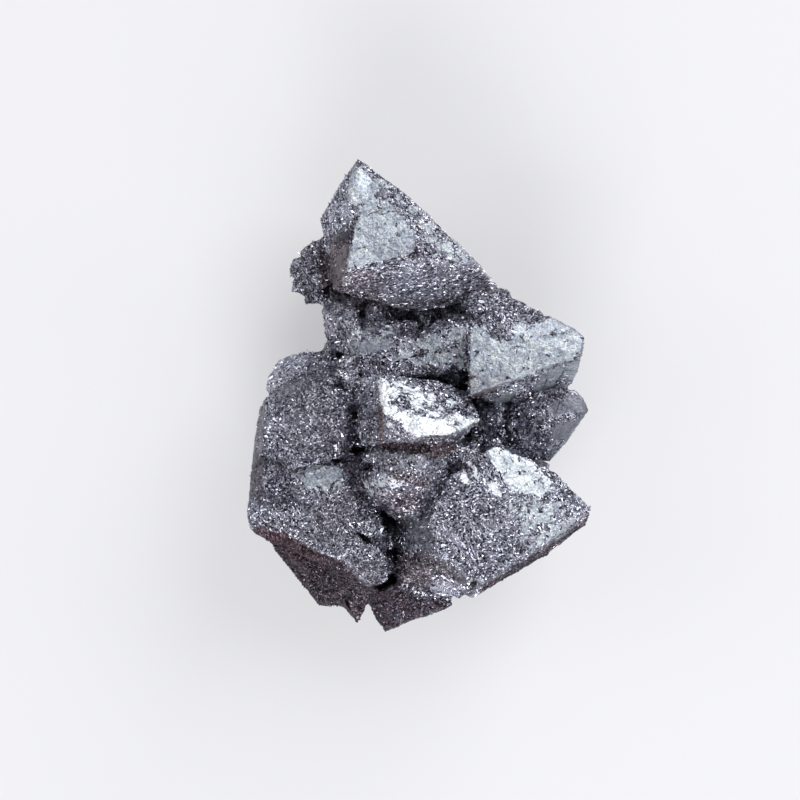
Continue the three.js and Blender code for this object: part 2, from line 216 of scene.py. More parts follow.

# --- Stained and paler zones, as outlines x,y x,y ... seen from above ---
# tone: added to the druse's lightness; in the zones so marked it is painted shade or painted light.
# brown: the share of rust. soft: half the width of the edge.
# coarse: the share of big bright grains. fine: how far the druse is small-grained and even in tone.
Zone = namedtuple("Zone", "outline tone brown soft coarse fine", defaults=(0, 0, 0.3, 0, 0))
ZONES = dict(
    under_left=Zone("-17.7,-13.5 -13.6,-13.8 -9.8,-15.8 -7.5,-16.7 -5.5,-19 -2.8,-18.9 -2.4,-20.5 -6,-23 "
        "-12,-20.5 -18,-16.5", tone=-0.95, brown=0.6, soft=0.15, coarse=0.6),
    under_left_rust=Zone("-17.7,-13 -13.6,-13.6 -9.8,-15.6 -9,-17 -12,-17.2 -15.5,-16 -18,-15",
        brown=0.85, soft=0.4),
    # Painted shadow: the foot's low tone is shade painted in; its brown is the stone's own colour.
    foot=Zone("-5.4,-19.5 -2.5,-19 1,-20.5 5,-20.8 6,-20.1 8,-19.5 5,-24.5 -6,-24.5", tone=-0.85,
        brown=0.55, coarse=0.6),
    low_right_rim=Zone("17.3,-11.8 14.6,-14 11.1,-16.1 6.1,-19.1 5.9,-20.7 11.6,-17.5 15.1,-15.5 "
        "18.1,-13", tone=-0.45, brown=0.65, soft=0.25),
    white_mauve=Zone("-3.9,-2.1 -2.9,-2.1 -1.6,-3.7 3,-4 3.5,-4.5 2.5,-4.8 -3.7,-4.7", tone=0.42,
        brown=0.2, soft=0.2, fine=0.9),
    under_white=Zone("-4.3,-1 -3.6,-1 -3.5,-4.5 3.2,-4.6 3.7,-5.4 1.8,-6.3 -1,-5.7 -4,-5.3", tone=0.16,
        brown=0.8, soft=0.2, fine=0.4),
    low_middle_under=Zone("-4.5,-9.4 1,-9.4 0.5,-11.5 -2,-12 -4,-11", brown=0.45, soft=0.4),
    low_side=Zone("-2.6,-15.6 1,-15.6 1.5,-17.5 0.5,-19.6 -2.6,-19.2", tone=-0.1, brown=0.6, soft=0.4),
    low_ledges=Zone("-0.8,-16.2 1.4,-16 3,-16.8 4.9,-18.4 4.2,-18.8 1.6,-18 0.4,-18.4 -0.8,-17.6",
        tone=0.05, brown=0.45, soft=0.2, fine=1),
    low_right_foot=Zone("1.2,-18.9 3,-18.4 5.2,-18.9 4.6,-20 2.8,-20.6 1.6,-20.2", tone=0.35, soft=0.25),
    # Painted shade: the low tone darkens the cleft between the crystals.
    valley=Zone("-5.9,-9.4 -4.6,-10.3 -3.2,-11.1 -1.7,-11.8 -1.4,-12.5 -1.5,-14.9 -2.1,-16 -2,-17.4 "
        "-2.1,-19.3 -3,-19.3 -2.8,-17.9 -3.3,-16.7 -3.8,-15.6 -4.4,-14.9 -4.2,-13.4 -4.6,-12.2 "
        "-5.7,-11.2", tone=-0.55, soft=0.25, coarse=0.6),
    # Painted shade: the low tone darkens the seam between the left block and the one below it.
    left_seam=Zone("-7.4,-1 -6,-1 -5.9,-4.5 -5.6,-6 -5.9,-8.5 -5.4,-10.2 -6.2,-10.8 -6.9,-9 -7.8,-6.5 "
        "-7.4,-3.5", tone=-0.5, coarse=0.6),
    low_middle_pale=Zone("-2.6,-5.9 -0.5,-5.6 0.7,-6.4 1,-8 -0.6,-8.2 -1.8,-7.4", tone=0.15),
    spur=Zone("-8,-19.8 -5.4,-19.6 -5.2,-21 -5.6,-22.5 -6.3,-23.4 -7.6,-22", tone=0.14, soft=0.2,
        fine=0.6),
    # Painted light: the raised tone and bright coarse grains lighten this shaded recess.
    recess=Zone("5,0.2 10,1 13.5,0.5 12.8,-1.3 13,-5.5 12,-6 9,-5 5,-4", tone=0.08, soft=0.5, coarse=0.9),
    low_right_pale=Zone("6.5,-5 12,-7 14,-10 16.8,-11.5 14,-14.5 10,-15.5 8,-12 7,-8", tone=0.22,
        soft=0.8),
    low_right_strip=Zone("1.5,-10.5 3,-10.5 3.5,-16.5 1.8,-16.8", tone=0.25),
    head_under=Zone("-7.6,12 -2,13.6 3,13.5 5.6,13 8.2,11 4.5,9.4 0,8 -4,8.6 -7.5,10", tone=0.54,
        brown=0.12),
    # Painted light: the raised tone lightens the lower half of the head's under face, which the middle
    # crystal shades.
    head_under_low=Zone("-7.5,10.4 -4,10.8 0,10.8 4.5,11.2 8.2,11 4.5,9 0,7.6 -4,8.2 -7.5,9.6", tone=0.3,
        soft=0.5),
    head_under_mauve=Zone("-8,12.5 -5.5,12.8 -3.5,12 -3.5,9 -6,8.6 -8.6,9.6", brown=0.5, soft=0.6),
    head_low_mauve=Zone("-4.8,14.4 -1.5,15.4 0.4,15.2 0.2,13.6 -3,13", tone=-0.25, brown=0.22, soft=0.6),
    head_flank=Zone("-6.6,23 -9.9,17.6 -9.6,16 -7,16.6 -6,19 -6.9,21.5", coarse=0.8),
    head_flank_dark=Zone("-8.6,15.2 -7.8,16.3 -6.5,17 -6.5,15.9 -7.4,15.3 -8.2,14.7", tone=-0.55,
        soft=0.2),
    head_flank_pale=Zone("-7.7,19.4 -6.9,19.8 -6.2,19 -6.1,17.4 -7.6,16.8 -8.4,17.6", tone=0.22),
    left_blue=Zone(PATCHES["left_blue"].outline, tone=-0.1, soft=0.4),
    right_face_mauve=Zone("4.8,2.4 6.4,2.2 9,2 8,0.9 6.6,0 4.8,-0.3", brown=0.35, soft=0.5),
    # Painted light: the raised tone and bright coarse grains lighten this shaded hole.
    pit=Zone("1.2,3 4.8,3.4 5,0.6 3.2,0.8", tone=0.1, coarse=0.7),
    # Painted shade: the low tone darkens the druse under the head's overhang.
    under_head=Zone("-6,9.4 -2.4,8.6 0,8.2 5,9 5,7.6 2.4,6.9 -1.6,5.4 -3.4,6", tone=-0.1, coarse=0.7),
    left_pale=Zone("-15.4,2.2 -13,4.4 -10.8,4.4 -11.6,2.4 -14,0.9 -15.4,0.3", tone=0.34, soft=0.5,
        coarse=0.5),
    left_mauve_high=Zone("-13.6,-0.6 -9,0 -7.8,-4.4 -10.6,-6 -13,-4.6", tone=-0.08, brown=0.14, soft=0.8,
        fine=0.8),
    left_top_fine=Zone("-14.6,0.6 -13,1.9 -11,3.2 -9.2,2.6 -9.4,0.6 -12,-0.4 -14.4,-0.6", brown=0.12,
        soft=0.5, fine=0.9),
    left_low_fine=Zone("-9,-15.2 -6.4,-15.8 -4.4,-16.6 -3.2,-18.9 -5.4,-19.2 -7.4,-17.4", tone=-0.14,
        brown=0.16, soft=0.5, fine=0.9),
    left_edge_pale=Zone("-16.2,-1 -14.6,-0.8 -14.4,-4.8 -16.4,-5.6", tone=0.2, soft=0.5),
    left_low_dark=Zone("-16.4,-6.4 -13.2,-6.8 -12,-9.2 -13,-11.6 -16.2,-10.4", tone=-0.24, soft=0.6),
    head_pale=Zone("-2,20.5 -0.5,19.5 4,15 8,11.5 6.5,12 3,13.5 0,17", tone=0.25, soft=0.5),
    knob=Zone("-13.6,9 -9.6,9 -9.4,15.2 -10.2,16.2 -13.6,15", tone=-0.05, soft=0.2, coarse=1),
    saddle=Zone("-10,10.5 -6.5,9.4 -3,8 -2,6.5 -6,4.2 -7.5,2.5 -10,4.2", tone=0.22, soft=0.4, coarse=1),
    shoulder=Zone("5,9.5 8.4,11 12.9,8.2 12,7.4 9,7.6 6,7.2", tone=-0.12, soft=0.4, coarse=0.7),
    left_dark=Zone("-9.5,1 -6.8,0.5 -6.8,-9 -9,-7.2 -9,-3", tone=-0.22, soft=1, coarse=0.5),
    left_rim=Zone("-17.4,0.5 -15.5,0 -15.3,-5 -15.8,-10.5 -18,-10.5", tone=-0.05, brown=0.3, soft=0.4,
        fine=1),
    low_middle_streak=Zone("-3.5,-7.2 -1.5,-7.4 1,-8.4 2,-8 2.2,-9 0,-9.2 -3,-8.2", brown=0.5, soft=0.25),
    low_middle_dark=Zone("-6.6,-6.6 -4.6,-7 -4.4,-8.2 -6.4,-8.4", tone=-0.2, brown=0.2, soft=0.4),
    middle_right=Zone("2,3 4.8,3 5,-1 6.5,-2.2 9,-1.5 9,-5 5,-5 4.6,-7 3.2,-7.2 3.4,-4.6 6.4,-3 3.6,0.6",
        tone=-0.2, soft=0.5, coarse=0.5),
    left_mauve=Zone("-12,-10.5 -7,-10.5 -6.5,-15 -12,-14.5", tone=-0.06, brown=0.2, soft=1, fine=0.55),
    right_rim=Zone("4.8,-0.2 8,1 8,0.5 5,-0.8", tone=-0.2, brown=0.7, soft=0.12),
)

# --- Cracks and holes, seen from above ---
# Each crack is its course. It is darkest within CRACK_WIDTH of that, and gone beyond CRACK_FADE.
CRACK_WIDTH = 0.1
CRACK_FADE = (0.2, 0.45)
CRACKS = dict(
    head_ledge="-5.05,17.95 -4.72,18.3 -4.2,18.25 -3.7,18.1 -3.15,18.25 -2.7,18.4",
    head_above="-4.3,18.75 -3.65,18.7",
    head_left="-6.05,14.65 -5.4,14.85",
    head_foot="-2.05,13.45 -1.55,13.55 -1.15,13.75 -0.5,13.8",
    head_right="-0.5,17.9 -0.25,17 0.05,16.2",
    right_ledge="12.4,6.05 13.35,6.3 14.25,6.3 14.85,6.6",
    right_side="14.6,3.1 14.62,2.4 14.25,1.65 14,1.3",
    right_side_short="12.75,1.4 12.5,0.65",
    middle_right="14.1,-0.6 13.9,-1.4",
    left_ledge="-12.1,-7.4 -10.8,-7 -9.6,-6.75 -8.5,-6.35",
    left_arc="-14.2,0.9 -12.9,1.7 -11.9,2.2 -10.7,2.4",
    left_slant="-9.2,-11.6 -8,-12.4 -7.2,-13.4",
    low_middle_a="-4.4,-7.4 -3,-7.9 -1.2,-8 0.4,-8.7",
    low_middle_b="-3.6,-10.2 -2,-10.5 -0.4,-10.2",
    low_right_a="0.8,-16.2 2.7,-17 3.8,-17.7 4.8,-18.5",
    low_right_b="1.2,-17.6 2.6,-18.2 3.9,-18.7",
)

# Each hole is a centre, its half width and half height, its turn in degrees and its depth. Its wall
# runs between two shares of those half sizes.
HOLE_WALL = (0.4, 1.1)
HOLES = dict(
    low_middle=((-5.3, -7.05), 0.6, 0.5, 0, 1.6),
    left_low=((-5.4, -14.3), 1.1, 0.45, -35, 1.0),
    left_seam=((-6.45, -2), 0.3, 1.0, 0, 0.8),
    low_right=((5.3, -18.95), 0.7, 0.35, 40, 0.9),
)

# Growth lines run across the head's lower face: their turn from the x axis in degrees, how far their
# noise is drawn out along them, and the face's outline.
GROWTH_TURN = 15
GROWTH_WAY = (math.cos(math.radians(GROWTH_TURN)), math.sin(math.radians(GROWTH_TURN)), 0.0)
DRAWN_OUT = 0.88
GROWTH_OUTLINE = (
    "-7.6,12 -6.4,12.6 -4,13.4 -2,13.8 0.4,14 3,13.6 5.6,13 8.2,11 "
    "4.5,9.4 0,8 -4,8.6 -7.5,10")


# --- Noise ---
HASH = (73856093, 19349663, 83492791)
HASH_SEED = 668265263
HASH_MIX = 1274126177


def hashed(rows, seed):
    """A number from 0 to 1 for each row of whole numbers."""
    mixed = rows[..., 0] * HASH[0] ^ rows[..., 1] * HASH[1] ^ rows[..., 2] * HASH[2] ^ seed * HASH_SEED
    mixed = (mixed ^ (mixed >> 13)) * HASH_MIX
    mixed = mixed ^ (mixed >> 16)
    return (mixed & 0xFFFFFF) / 0x1000000


def noise(points, size, seed):
    """Smooth noise from -1 to 1, with lumps about size across."""
    scaled = points / size
    cell = np.floor(scaled).astype(np.int64)
    part = scaled - cell
    part = part * part * (3 - 2 * part)
    total = np.zeros(len(points))
    for corner in np.ndindex(2, 2, 2):
        weight = np.prod(np.where(corner, part, 1 - part), axis=1)
        total += weight * hashed(cell + np.array(corner), seed)
    return total * 2 - 1


def lumpy(points, lumps):
    """Rough noise of the kind given."""
    total = np.zeros(len(points))
    for octave in range(lumps.octaves):
        total += noise(points, lumps.size / 2 ** octave, lumps.seed + octave) / 2 ** octave
    return lumps.height * (total / (2 - 2 ** (1 - lumps.octaves)))


def cells(points, size, seed):
    """For seats strewn about size apart: each point's nearest one and the way from it."""
    scaled = points / size
    home = np.floor(scaled).astype(np.int64)
    first = np.full(len(points), np.inf)
    nearest = np.zeros((len(points), 3), np.int64)
    away = np.zeros((len(points), 3))
    for step in np.ndindex(3, 3, 3):
        cell = home + np.array(step) - 1
        seat = np.stack([hashed(cell, seed + axis) for axis in range(3)], axis=1)
        way = scaled - cell - seat
        gap = np.linalg.norm(way, axis=1)
        nearer = gap < first
        nearest = np.where(nearer[:, None], cell, nearest)
        away = np.where(nearer[:, None], way, away)
        first = np.where(nearer, gap, first)
    return nearest, away * size


def tilted_blocks(points, blocks):
    """Height of a surface broken into blocks, each tilted and lifted its own way."""
    cell, away = cells(points, blocks.size, blocks.seed)
    lean = np.stack([hashed(cell, blocks.seed + 10 + axis) for axis in range(3)], axis=1) * 2 - 1
    step = hashed(cell, blocks.seed + 13) * 2 - 1
    return blocks.height * (np.einsum("ij,ij->i", lean, away) + 0.25 * blocks.size * step)


def ramp(values, start, end):
    t = np.clip((values - start) / (end - start), 0, 1)
    return t * t * (3 - 2 * t)


# --- Triangles ---
def vertex_values(mesh, name):
    values = np.zeros(len(mesh.vertices) * 3)
    mesh.vertices.foreach_get(name, values)
    return values.reshape(-1, 3)


def triangles_of(mesh):
    mesh.calc_loop_triangles()
    triangles = np.zeros(len(mesh.loop_triangles) * 3, np.int64)
    mesh.loop_triangles.foreach_get("vertices", triangles)
    return triangles.reshape(-1, 3)


def unit(vectors):
    return vectors / np.maximum(np.linalg.norm(vectors, axis=1, keepdims=True), 1e-12)


class Facets:
    """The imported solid's faces, for finding the facet and the sharp edges near a point."""

    def __init__(self, node):
        self.corners = vertex_values(node.data, "co") / MM
        self.triangles = triangles_of(node.data)
        a, b, c = (self.corners[self.triangles[:, k]] for k in range(3))
        self.normals = unit(np.cross(b - a, c - a))
        self.tree = BVHTree.FromPolygons(self.corners.tolist(), self.triangles.tolist())
        self.number_planes(a)
        self.find_edges()

    def number_planes(self, a):
        """Triangles in one plane get one number."""
        offset = np.einsum("ij,ij->i", self.normals, a)
        keys = np.round(np.column_stack([self.normals * 40, offset * 4])).astype(np.int64)
        _, self.planes = np.unique(keys, axis=0, return_inverse=True)
        self.planes = self.planes.ravel()

    def find_edges(self):
        """Points every EDGE_STEP along the sharp edges, outward ridges and inward creases apart."""
        keys = np.round(self.corners * 1000).astype(np.int64)
        _, merged = np.unique(keys, axis=0, return_inverse=True)
        merged = merged.ravel()
        sides = {}
        for t, triangle in enumerate(self.triangles):
            for k in range(3):
                p, q = triangle[k], triangle[(k + 1) % 3]
                sides.setdefault(tuple(sorted((merged[p], merged[q]))), []).append((t, p, q))
        ridges, creases = [], []
        for pair in sides.values():
            if len(pair) != 2:
                continue
            (t, p, q), (u, _, _) = pair
            if self.normals[t] @ self.normals[u] > math.cos(SHARP_EDGE):
                continue
            middle_u = self.corners[self.triangles[u]].mean(0)
            outward = self.normals[t] @ (middle_u - self.corners[p]) < 0
            start, end = self.corners[p], self.corners[q]
            count = max(2, int(np.linalg.norm(end - start) / EDGE_STEP))
            line = start + (end - start) * np.linspace(0, 1, count)[:, None]
            (ridges if outward else creases).append(line)
        self.ridge_tree = tree_of(np.concatenate(ridges))
        self.crease_tree = tree_of(np.concatenate(creases))

    def nearest(self, points):
        return np.array([self.tree.find_nearest(p)[2] for p in points.tolist()])


def tree_of(points):
    tree = KDTree(len(points))
    for k, point in enumerate(points.tolist()):
        tree.insert(point, k)
    tree.balance()
    return tree


def distances(tree, points):
    return np.array([tree.find(p)[2] for p in points.tolist()])


# --- Patches, zones, cracks and holes ---
STRAY_SEEDS = (95, 97)
CRACK_STRAY, HOLE_STRAY = (0.5, 0.1), (0.7, 0.12)
PLANE_KEY, PLANE_SEED = (7, 3), 91
ISLAND_SEED = 21


def upper(normals):
    return normals[:, 2] > UPWARD


def strayed(points, size, reach):
    """Places seen from above, pushed about so that drawn shapes turn natural."""
    push = np.stack([noise(points, size, seed) for seed in STRAY_SEEDS], axis=1)
    return points[:, :2] + reach * push


def from_line(xy, start, end):
    along = end - start
    t = np.clip(((xy - start) @ along) / (along @ along), 0, 1)
    return np.linalg.norm(xy - start - t[:, None] * along, axis=1)


def corners_of(outline):
    return np.array([corner.split(",") for corner in outline.split()], float)


def inside_by(points, outline):
    """How far each point lies inside the outline seen from above; negative outside."""
    xy = points[:, :2]
    nearest = np.full(len(xy), np.inf)
    inside = np.zeros(len(xy), bool)
    corners = corners_of(outline)
    for start, end in zip(corners, np.roll(corners, -1, axis=0)):
        nearest = np.minimum(nearest, from_line(xy, start, end))
        crosses = (start[1] > xy[:, 1]) != (end[1] > xy[:, 1])
        rise = end[1] - start[1]
        x_cross = start[0] + (xy[:, 1] - start[1]) * (end[0] - start[0]) / (rise if rise else 1e-9)
        inside ^= crosses & (xy[:, 0] < x_cross)
    return np.where(inside, nearest, -nearest)


def patch_cover(points, normals):
    """Cover above 0 is smooth stone and below 0 is druse. Also each point's brightness, partly painted
    highlight, and brown.
    """
    cover = np.full(len(points), -1.0)
    shine = np.zeros(len(points))
    brown = np.zeros(len(points))
    wander = lumpy(points, PATCH_WANDER)
    for number, patch in enumerate(PATCHES.values()):
        depth = inside_by(points, patch.outline) + wander * patch.ragged
        if patch.holes:
            islands = lumpy(points, Lumps(patch.islands, ISLAND_SEED + number, 2, 0.5)) + 0.5
            depth = np.minimum(depth, (islands - patch.holes * 0.7 - 0.2) * 2.0)
        depth = np.where(upper(normals), depth, -1.0)
        better = depth > cover
        cover = np.where(better, depth, cover)
        shine = np.where(better, patch.shine, shine)
        brown = np.where(better, patch.brown, brown)
    return cover, shine, brown


def side_cover(points, normals, planes, ridge, crease):
    """Cover on the sides, where some facets are bare and dull out to near their edges."""
    picked = hashed(np.column_stack([planes, np.full((len(planes), 2), PLANE_KEY)]), PLANE_SEED)
    depth = np.minimum(ridge - BARE_FROM_RIDGE, crease - BARE_FROM_CREASE) + lumpy(points, SIDE_WANDER)
    bare = (picked < BARE_SIDES) & (normals[:, 2] < BARE_SLOPE)
    return np.where(bare, depth, -1.0) - (points[:, 2] > BARE_TOP), BARE_SHINE[0] + BARE_SHINE[1] * picked


def zone_values(points):
    """The tone, the brown, and how coarse and how fine the druse is at each point."""
    tone = lumpy(points, TONE_DRIFT)
    brown = np.zeros(len(points))
    coarse = 0.5 * ramp(lumpy(points, COARSE_DRIFT), 0.0, 0.45)
    fine = 0.5 * ramp(lumpy(points, FINE_DRIFT), 0.0, 0.45)
    fine = np.maximum(fine, FINE_LOW * (1 - ramp(points[:, 2], *FINE_HEIGHTS)))
    wander = lumpy(points, ZONE_WANDER)
    for zone in ZONES.values():
        share = ramp(inside_by(points, zone.outline) + wander * zone.soft, -zone.soft, zone.soft)
        tone += share * zone.tone
        brown = np.maximum(brown, share * zone.brown)
        coarse = np.maximum(coarse, share * zone.coarse)
        fine = np.maximum(fine * (1 - share * zone.coarse), share * zone.fine)
    return tone, brown, coarse * (1 - fine), fine


def crack_lines(points, normals):
    """How far each point lies to the left of the nearest crack, and the share of that crack there."""
    xy = strayed(points, *CRACK_STRAY)
    nearest = np.full(len(points), np.inf)
    leftward = np.full(len(points), 1.0)
    for course in CRACKS.values():
        course = corners_of(course)
        for start, end in zip(course[:-1], course[1:]):
            gap = from_line(xy, start, end)
            along = (end - start) / np.linalg.norm(end - start)
            way = xy - start
            nearer = gap < nearest
            nearest = np.where(nearer, gap, nearest)
            leftward = np.where(nearer, along[0] * way[:, 1] - along[1] * way[:, 0], leftward)
    share = (1 - ramp(nearest, *CRACK_FADE)) * upper(normals)
    return np.clip(leftward, -0.5, 0.5), share


def hole_depths(points, normals):
    """How far the holes go into the stone at each point."""
    depth = np.zeros(len(points))
    xy = strayed(points, *HOLE_STRAY)
    for centre, half_width, half_height, turn, deep in HOLES.values():
        c, s = math.cos(math.radians(turn)), math.sin(math.radians(turn))
        way = xy - centre
        across = (way[:, 0] * c + way[:, 1] * s) / half_width
        down = (way[:, 1] * c - way[:, 0] * s) / half_height
        depth = np.maximum(depth, deep * (1 - ramp(np.hypot(across, down), *HOLE_WALL)))
    return np.where(upper(normals), depth, 0)


class Surface:
    """What lies at a set of points on the stone."""

    def __init__(self, facets, points):
        face = facets.nearest(points)
        self.flat = facets.normals[face]
        self.plane = facets.planes[face]
        self.ridge = distances(facets.ridge_tree, points)
        self.crease = distances(facets.crease_tree, points)
        self.cover, self.shine, self.brown = patch_cover(points, self.flat)
        sides, side_shine = side_cover(points, self.flat, self.plane, self.ridge, self.crease)
        bare = sides > self.cover
        self.cover = np.where(bare, sides, self.cover)
        self.shine = np.where(bare, side_shine, self.shine)
        self.brown = np.where(bare, 0.0, self.brown)
        self.tone, stain, self.coarse, self.fine = zone_values(points)
        self.brown = np.maximum(self.brown, stain)
        self.hole = hole_depths(points, self.flat)
        self.leftward, self.crack = crack_lines(points, self.flat)
        self.lines = ramp(inside_by(points, GROWTH_OUTLINE), -0.2, 0.4) * upper(self.flat)
        self.cover = np.where((self.lines > 0.3) & (self.cover < 0.1), -0.5, self.cover)
        # gap: painted shade along the creases, 1 at a crease and none from 0.9 mm away.
        self.gap = 1 - ramp(self.crease, 0.05, 0.9)

    def at(self, rows):
        """The same, at only some of the points."""
        part = copy.copy(self)
        for name, values in vars(self).items():
            setattr(part, name, values[rows])
        return part


# --- The stone ---
BACK_EDGE = 0.3
# How readily the stone's triangles merge, below each height and above them all.
SPARE = ((0.4, 1.0), (9, 0.6), (math.inf, 0.35))


def apply_modifiers(piece):
    graph = bpy.context.evaluated_depsgraph_get()
    mesh = bpy.data.meshes.new_from_object(piece.evaluated_get(graph))
    piece.modifiers.clear()
    old = piece.data
    piece.data = mesh
    bpy.data.meshes.remove(old)


def remesh(source, name):
    piece = bpy.data.objects.new(name, source.data.copy())
    bpy.context.scene.collection.objects.link(piece)
    fine = piece.modifiers.new("fine", "REMESH")
    fine.mode = "VOXEL"
    fine.voxel_size = VOXEL * MM
    apply_modifiers(piece)
    return piece


def thin_out(piece, heights):
    """Merge triangles down to STONE_TRIANGLES, most of all on the back and low on the sides."""
    weights = piece.vertex_groups.new(name="keep")
    spare = np.zeros(len(heights))
    for height, weight in reversed(SPARE):
        spare = np.where(heights < height, weight, spare)
    for value in np.unique(spare):
        weights.add(np.flatnonzero(spare == value).tolist(), float(value), "REPLACE")
    slim = piece.modifiers.new("slim", "DECIMATE")
    slim.ratio = STONE_TRIANGLES / (2 * len(piece.data.polygons))
    slim.vertex_group = "keep"
    slim.vertex_group_factor = 1.0
    slim.use_collapse_triangulate = True
    apply_modifiers(piece)
    piece.vertex_groups.clear()


def growth_noise(points, here):
    """Noise drawn out along the growth lines, and along x at the very edge of their face."""
    way = np.where(here.lines[:, None] > 0.5, GROWTH_WAY, (1.0, 0.0, 0.0))
    along = np.einsum("ij,ij->i", points, way)
    return lumpy(points - DRAWN_OUT * along[:, None] * way, GROWTH_LINES)


def relief(points, here):
    """How far the stone's surface is lifted along its normal."""
    smooth = ramp(here.cover, -0.1, 0.15)
    druse = 1 - smooth
    calm = 0.5 + 0.5 * ramp(np.minimum(here.ridge, here.crease * 2), 0.1, 1.0)
    lift = lumpy(points, SWELL) + calm * lumpy(points, RIPPLE)
    lift -= calm * DENT_DEPTH * ramp(lumpy(points, DENTS), 0.0, 0.5)
    lift += calm * smooth * (lumpy(points, PATCH_LUMPS) + tilted_blocks(points, PATCH_BLOCKS))
    lift += calm * druse * (lumpy(points, DRUSE_LUMPS) + lumpy(points, DRUSE_KNOTS))
    lift += calm * druse * here.coarse * tilted_blocks(points, COARSE_BLOCKS)
    lift += here.lines * druse * growth_noise(points, here)
    lift -= here.hole + CRACK_DEPTH * here.crack + SINK
    return np.where(here.flat[:, 2] < BACKWARD, 0.0, lift)


def add_attribute(mesh, name, values):
    attribute = mesh.attributes.new(name, "FLOAT", "POINT")
    attribute.data.foreach_set("value", np.asarray(values, np.float32))


def mottled(points, here):
    return here.tone + lumpy(points, MOTTLING)


def stone_piece(facets):
    piece = remesh(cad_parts[NODE], "stone")
    mesh = piece.data
    points = vertex_values(mesh, "co") / MM
    here = Surface(facets, points)
    moved = points + vertex_values(mesh, "normal") * relief(points, here)[:, None]
    heights = np.where(points[:, 2] < BACK_EDGE, points[:, 2] - VOXEL / 2, moved[:, 2])
    moved[:, 2] = np.maximum(heights, 0)
    mesh.vertices.foreach_set("co", (moved * MM).ravel())
    marks = dict(
        cover=np.clip(here.cover, -0.6, 0.6) * 0.5 + 0.5,
        shine=here.shine,
        brown=np.clip(here.brown, 0, 1),
        tone=np.clip(0.5 + mottled(points, here), 0, 1),
        # gap: painted shade in the holes and along the creases.
        gap=np.maximum(ramp(here.hole, 0.05, 0.4), 0.55 * here.gap),
        fine=here.fine,
        lines=here.lines,
        leftward=here.leftward,
        crack=here.crack,
    )
    for name, values in marks.items():
        add_attribute(mesh, name, values)
    thin_out(piece, points[:, 2])
    piece.data.shade_smooth()
    return piece


# --- Druse ---
# An octahedron lying on one face: the upper triangle, then the lower one.
TRIANGLE = math.radians(120)
HEIGHT = 1 / math.sqrt(3)
SPREAD = math.sqrt(2 / 3)
GRAIN = np.array([
    [SPREAD * math.cos(turn), SPREAD * math.sin(turn), height]
    for height, first in ((HEIGHT, 0.0), (-HEIGHT, TRIANGLE / 2))
    for turn in (first, first + TRIANGLE, first + 2 * TRIANGLE)])
GRAIN_FACES = np.array([
    [0, 1, 2], [3, 5, 4], [0, 3, 1], [1, 4, 2], [2, 5, 0], [3, 4, 1], [4, 5, 2], [5, 3, 0]])
TURN_SEED = 5
DRUSE_SEED = 100
# How far the grains may stand out past the solid's box, and how low they may come.
PAST_BOX = 0.3
LEAST_HEIGHT = 0.02


def strewn(stone, facets, rng, count):
    """Places for grains on the stone's druse, which way is out there, and what lies there."""
    points = vertex_values(stone.data, "co") / MM
    triangles = triangles_of(stone.data)
    a, b, c = (points[triangles[:, k]] for k in range(3))
    across = np.cross(b - a, c - a)
    areas = np.linalg.norm(across, axis=1) / 2
    height = (a + b + c)[:, 2] / 3
    facing = across[:, 2] / np.maximum(areas * 2, 1e-12)
    wanted = np.where(facing > 0.1, 1.0, SIDE_SHARE)
    wanted = np.where(height < LOW_HEIGHT, wanted * LOW_SHARE, wanted)
    wanted = np.where(height < 0.2, 0, wanted)
    chance = areas * wanted
    chance /= chance.sum()
    drawn = rng.choice(len(triangles), size=count * 2, p=chance)
    u, v = rng.random((2, len(drawn)))
    fold = u + v > 1
    u = np.where(fold, 1 - u, u)
    v = np.where(fold, 1 - v, v)
    spots = a[drawn] + u[:, None] * (b - a)[drawn] + v[:, None] * (c - a)[drawn]
    out = across[drawn] / np.maximum(2 * areas[drawn], 1e-12)[:, None]
    here = Surface(facets, spots)
    kept = (here.cover < 0) & (spots[:, 2] > 0.35) & (here.flat[:, 2] > BACKWARD) & (here.hole < 0.3)
    kept &= (here.lines < 0.5) | (rng.random(len(spots)) < LINES_SHARE)
    kept &= rng.random(len(spots)) > FINE_LOSS * here.fine
    chosen = np.flatnonzero(kept)[:count]
    here = here.at(chosen)
    return spots[chosen], unit(out[chosen] + here.flat), here


def grain_axes(out, here, rng):
    """Three axes for each grain: along it, across it and up out of the stone."""
    count = len(out)
    up = unit(out + LEAN * rng.normal(size=(count, 3)))
    facet_turns = np.random.default_rng(TURN_SEED).normal(size=(here.plane.max() + 1, 3))
    aligned = rng.random(count) < ALIGNED_SHARE
    with_facet = facet_turns[here.plane] + 0.2 * rng.normal(size=(count, 3))
    heading = np.where(aligned[:, None], with_facet, rng.normal(size=(count, 3)))
    with_lines = GROWTH_WAY + 0.35 * rng.normal(size=(count, 3))
    heading = np.where(here.lines[:, None] > 0.5, with_lines, heading)
    along = unit(heading - np.einsum("ij,ij->i", heading, up)[:, None] * up)
    return np.stack([along, np.cross(up, along), up], axis=1)


def grain_reaches(spots, out, here, rng):
    """How far each grain reaches from its centre."""
    reach = GRAIN_REACH * (1 + lumpy(spots, CLUMPS)) * np.exp(SIZE_SPREAD * rng.normal(size=len(spots)))
    reach *= np.where(here.cover > -0.3, 0.8, 1.0)
    reach *= np.where(rng.random(len(spots)) < BIG_SHARE * here.coarse, BIG_GRAIN, 1.0)
    reach *= (1 - 0.2 * here.fine) * (1 - 0.15 * here.lines)
    most = MOST_REACH + (MOST_ON_LINES - MOST_REACH) * here.lines
    most = np.minimum(most, MOST_ON_SIDES + 0.3 * np.maximum(out[:, 2], 0))
    most = np.where(here.ridge < 0.3, MOST_ON_RIDGES, most)
    return np.clip(reach, LEAST_REACH, most)


